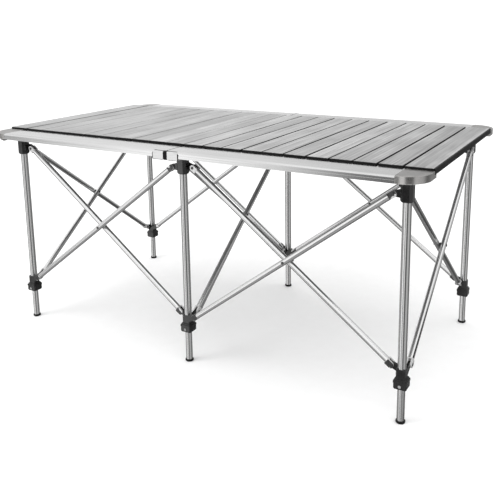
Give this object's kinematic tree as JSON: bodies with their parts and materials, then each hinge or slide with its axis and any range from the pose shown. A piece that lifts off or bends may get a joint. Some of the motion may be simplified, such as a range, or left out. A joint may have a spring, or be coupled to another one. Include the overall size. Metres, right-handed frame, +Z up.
{
  "type": "folding picnic table",
  "caption": "Aluminium folding picnic table with a hinged slatted top resting on a cross-braced frame that folds like scissors.",
  "frame": {"origin": "on the ground under the middle of the table top", "axes": "+X along the table to the right, -Y towards the front, +Z up"},
  "size_m": [1.4, 0.8024, 0.65],
  "materials": {
    "top_bracket": "moulded, semi-matt",
    "leg_tube": "satin anodised",
    "lower_bracket": "moulded, fine grain",
    "rubber_foot": "matt",
    "brace": "satin anodised",
    "side_rail": "brushed along its length",
    "slat": "brushed along its length",
    "black_trim": "moulded",
    "corner_cap": "warm grey, glossy",
    "hinge_sleeve": "satin"
  },
  "bodies": {
    "leg_front_left_upper": {"top_bracket_front_left": "top_bracket", "upper_tube_front_left": "leg_tube"},
    "leg_front_left_lower": {"lower_bracket_front_left": "lower_bracket", "lower_tube_front_left": "leg_tube", "foot_front_left": "rubber_foot"},
    "leg_front_middle_upper": {"top_bracket_front_middle": "top_bracket", "upper_tube_front_middle": "leg_tube"},
    "leg_front_middle_lower": {"lower_bracket_front_middle": "lower_bracket", "lower_tube_front_middle": "leg_tube", "foot_front_middle": "rubber_foot"},
    "leg_front_right_upper": {"top_bracket_front_right": "top_bracket", "upper_tube_front_right": "leg_tube"},
    "leg_front_right_lower": {"lower_bracket_front_right": "lower_bracket", "lower_tube_front_right": "leg_tube", "foot_front_right": "rubber_foot"},
    "leg_back_left_upper": {"top_bracket_back_left": "top_bracket", "upper_tube_back_left": "leg_tube"},
    "leg_back_left_lower": {"lower_bracket_back_left": "lower_bracket", "lower_tube_back_left": "leg_tube", "foot_back_left": "rubber_foot"},
    "leg_back_middle_upper": {"top_bracket_back_middle": "top_bracket", "upper_tube_back_middle": "leg_tube"},
    "leg_back_middle_lower": {"lower_bracket_back_middle": "lower_bracket", "lower_tube_back_middle": "leg_tube", "foot_back_middle": "rubber_foot"},
    "leg_back_right_upper": {"top_bracket_back_right": "top_bracket", "upper_tube_back_right": "leg_tube"},
    "leg_back_right_lower": {"lower_bracket_back_right": "lower_bracket", "lower_tube_back_right": "leg_tube", "foot_back_right": "rubber_foot"},
    "brace_front_left_rising": {"brace_front_left_rising": "brace"},
    "brace_front_left_falling": {"brace_front_left_falling": "brace"},
    "brace_front_right_rising": {"brace_front_right_rising": "brace"},
    "brace_front_right_falling": {"brace_front_right_falling": "brace"},
    "brace_back_left_rising": {"brace_back_left_rising": "brace"},
    "brace_back_left_falling": {"brace_back_left_falling": "brace"},
    "brace_back_right_rising": {"brace_back_right_rising": "brace"},
    "brace_back_right_falling": {"brace_back_right_falling": "brace"},
    "brace_left_end_rising": {"brace_left_end_rising": "brace"},
    "brace_left_end_falling": {"brace_left_end_falling": "brace"},
    "brace_middle_rising": {"brace_middle_rising": "brace"},
    "brace_middle_falling": {"brace_middle_falling": "brace"},
    "brace_right_end_rising": {"brace_right_end_rising": "brace"},
    "brace_right_end_falling": {"brace_right_end_falling": "brace"},
    "top_left": {"side_rail_front_left": "side_rail", "side_rail_back_left": "side_rail", "slats_left": "slat", "end_slat_left": "slat", "slat_caps_left": "black_trim", "corner_caps_left": "corner_cap", "hinge_sleeves_left": "hinge_sleeve"},
    "top_right": {"side_rail_front_right": "side_rail", "side_rail_back_right": "side_rail", "slats_right": "slat", "end_slat_right": "slat", "slat_caps_right": "black_trim", "corner_caps_right": "corner_cap", "hinge_sleeves_right": "hinge_sleeve"},
    "hinge_link": {"hinge_links": "black_trim"}
  },
  "joints": [
    {"name": "frame_fold", "type": "hinge", "parent": "leg_front_middle_lower", "child": "brace_front_left_falling", "pos_m": [-0.03, -0.311, 0.145], "axis": [0, 1, 0], "range_deg": [0, 47.8]},
    {"name": "front_left_top_pivot", "type": "hinge", "parent": "brace_front_left_falling", "child": "leg_front_left_upper", "pos_m": [-0.61, -0.311, 0.585], "axis": [0, 1, 0], "range_deg": [-47.8, 0]},
    {"name": "front_left_cross", "type": "hinge", "parent": "brace_front_left_falling", "child": "brace_front_left_rising", "pos_m": [-0.32, -0.32, 0.365], "axis": [0, 1, 0], "range_deg": [-95.6, 0]},
    {"name": "front_left_low_pivot", "type": "hinge", "parent": "brace_front_left_rising", "child": "leg_front_left_lower", "pos_m": [-0.61, -0.329, 0.145], "axis": [0, 1, 0], "range_deg": [0, 47.8]},
    {"name": "front_middle_top_pivot", "type": "hinge", "parent": "brace_front_left_rising", "child": "leg_front_middle_upper", "pos_m": [-0.03, -0.329, 0.585], "axis": [0, 1, 0], "range_deg": [0, 47.8]},
    {"name": "front_right_low_pivot_in", "type": "hinge", "parent": "leg_front_middle_lower", "child": "brace_front_right_rising", "pos_m": [0.03, -0.329, 0.145], "axis": [0, 1, 0], "range_deg": [-47.8, 0]},
    {"name": "front_right_top_pivot", "type": "hinge", "parent": "brace_front_right_rising", "child": "leg_front_right_upper", "pos_m": [0.61, -0.329, 0.585], "axis": [0, 1, 0], "range_deg": [0, 47.8]},
    {"name": "front_right_cross", "type": "hinge", "parent": "brace_front_right_rising", "child": "brace_front_right_falling", "pos_m": [0.32, -0.32, 0.365], "axis": [0, 1, 0], "range_deg": [0, 95.6]},
    {"name": "front_right_low_pivot_out", "type": "hinge", "parent": "brace_front_right_falling", "child": "leg_front_right_lower", "pos_m": [0.61, -0.311, 0.145], "axis": [0, 1, 0], "range_deg": [-47.8, 0]},
    {"name": "middle_low_pivot_in", "type": "hinge", "parent": "leg_front_middle_lower", "child": "brace_middle_rising", "pos_m": [0.009, -0.29, 0.145], "axis": [1, 0, 0], "range_deg": [0, 47.8]},
    {"name": "middle_top_pivot", "type": "hinge", "parent": "brace_middle_rising", "child": "leg_back_middle_upper", "pos_m": [0.009, 0.29, 0.585], "axis": [1, 0, 0], "range_deg": [-47.8, 0]},
    {"name": "middle_cross", "type": "hinge", "parent": "brace_middle_rising", "child": "brace_middle_falling", "pos_m": [0, 0, 0.365], "axis": [1, 0, 0], "range_deg": [-95.6, 0]},
    {"name": "middle_low_pivot_out", "type": "hinge", "parent": "brace_middle_falling", "child": "leg_back_middle_lower", "pos_m": [-0.009, 0.29, 0.145], "axis": [1, 0, 0], "range_deg": [0, 47.8]},
    {"name": "back_left_low_pivot_in", "type": "hinge", "parent": "leg_back_middle_lower", "child": "brace_back_left_falling", "pos_m": [-0.03, 0.329, 0.145], "axis": [0, 1, 0], "range_deg": [0, 47.8]},
    {"name": "back_left_top_pivot", "type": "hinge", "parent": "brace_back_left_falling", "child": "leg_back_left_upper", "pos_m": [-0.61, 0.329, 0.585], "axis": [0, 1, 0], "range_deg": [-47.8, 0]},
    {"name": "back_left_cross", "type": "hinge", "parent": "brace_back_left_falling", "child": "brace_back_left_rising", "pos_m": [-0.32, 0.32, 0.365], "axis": [0, 1, 0], "range_deg": [-95.6, 0]},
    {"name": "back_left_low_pivot_out", "type": "hinge", "parent": "brace_back_left_rising", "child": "leg_back_left_lower", "pos_m": [-0.61, 0.311, 0.145], "axis": [0, 1, 0], "range_deg": [0, 47.8]},
    {"name": "back_right_low_pivot_in", "type": "hinge", "parent": "leg_back_middle_lower", "child": "brace_back_right_rising", "pos_m": [0.03, 0.311, 0.145], "axis": [0, 1, 0], "range_deg": [-47.8, 0]},
    {"name": "back_right_top_pivot", "type": "hinge", "parent": "brace_back_right_rising", "child": "leg_back_right_upper", "pos_m": [0.61, 0.311, 0.585], "axis": [0, 1, 0], "range_deg": [0, 47.8]},
    {"name": "back_right_cross", "type": "hinge", "parent": "brace_back_right_rising", "child": "brace_back_right_falling", "pos_m": [0.32, 0.32, 0.365], "axis": [0, 1, 0], "range_deg": [0, 95.6]},
    {"name": "back_right_low_pivot_out", "type": "hinge", "parent": "brace_back_right_falling", "child": "leg_back_right_lower", "pos_m": [0.61, 0.329, 0.145], "axis": [0, 1, 0], "range_deg": [-47.8, 0]},
    {"name": "left_end_low_pivot", "type": "hinge", "parent": "leg_front_left_lower", "child": "brace_left_end_rising", "pos_m": [-0.631, -0.29, 0.145], "axis": [1, 0, 0], "range_deg": [0, 47.8]},
    {"name": "left_end_cross", "type": "hinge", "parent": "brace_left_end_rising", "child": "brace_left_end_falling", "pos_m": [-0.64, 0, 0.365], "axis": [1, 0, 0], "range_deg": [-95.6, 0]},
    {"name": "right_end_low_pivot", "type": "hinge", "parent": "leg_front_right_lower", "child": "brace_right_end_rising", "pos_m": [0.649, -0.29, 0.145], "axis": [1, 0, 0], "range_deg": [0, 47.8]},
    {"name": "right_end_cross", "type": "hinge", "parent": "brace_right_end_rising", "child": "brace_right_end_falling", "pos_m": [0.64, 0, 0.365], "axis": [1, 0, 0], "range_deg": [-95.6, 0]},
    {"name": "top_lift", "type": "slide", "parent": "leg_front_middle_upper", "child": "top_left", "axis": [0, 0, 1], "range_m": [0, 0.25]},
    {"name": "link_swing", "type": "hinge", "parent": "top_left", "child": "hinge_link", "pos_m": [-0.034, -0.395, 0.64], "axis": [0, -1, 0], "range_deg": [0, 90]},
    {"name": "top_fold", "type": "hinge", "parent": "hinge_link", "child": "top_right", "pos_m": [0.034, -0.395, 0.64], "axis": [0, -1, 0], "range_deg": [0, 90]}
  ],
  "couplings": [
    {"joint": "front_left_top_pivot", "follows": "frame_fold", "ratio": -1},
    {"joint": "front_left_cross", "follows": "frame_fold", "ratio": -2},
    {"joint": "front_left_low_pivot", "follows": "frame_fold", "ratio": 1},
    {"joint": "front_middle_top_pivot", "follows": "frame_fold", "ratio": 1},
    {"joint": "front_right_low_pivot_in", "follows": "frame_fold", "ratio": -1},
    {"joint": "front_right_top_pivot", "follows": "frame_fold", "ratio": 1},
    {"joint": "front_right_cross", "follows": "frame_fold", "ratio": 2},
    {"joint": "front_right_low_pivot_out", "follows": "frame_fold", "ratio": -1},
    {"joint": "middle_low_pivot_in", "follows": "frame_fold", "ratio": 1},
    {"joint": "middle_top_pivot", "follows": "frame_fold", "ratio": -1},
    {"joint": "middle_cross", "follows": "frame_fold", "ratio": -2},
    {"joint": "middle_low_pivot_out", "follows": "frame_fold", "ratio": 1},
    {"joint": "back_left_low_pivot_in", "follows": "frame_fold", "ratio": 1},
    {"joint": "back_left_top_pivot", "follows": "frame_fold", "ratio": -1},
    {"joint": "back_left_cross", "follows": "frame_fold", "ratio": -2},
    {"joint": "back_left_low_pivot_out", "follows": "frame_fold", "ratio": 1},
    {"joint": "back_right_low_pivot_in", "follows": "frame_fold", "ratio": -1},
    {"joint": "back_right_top_pivot", "follows": "frame_fold", "ratio": 1},
    {"joint": "back_right_cross", "follows": "frame_fold", "ratio": 2},
    {"joint": "back_right_low_pivot_out", "follows": "frame_fold", "ratio": -1},
    {"joint": "left_end_low_pivot", "follows": "frame_fold", "ratio": 1},
    {"joint": "left_end_cross", "follows": "frame_fold", "ratio": -2},
    {"joint": "right_end_low_pivot", "follows": "frame_fold", "ratio": 1},
    {"joint": "right_end_cross", "follows": "frame_fold", "ratio": -2},
    {"joint": "link_swing", "follows": "top_fold", "ratio": 1}
  ]
}
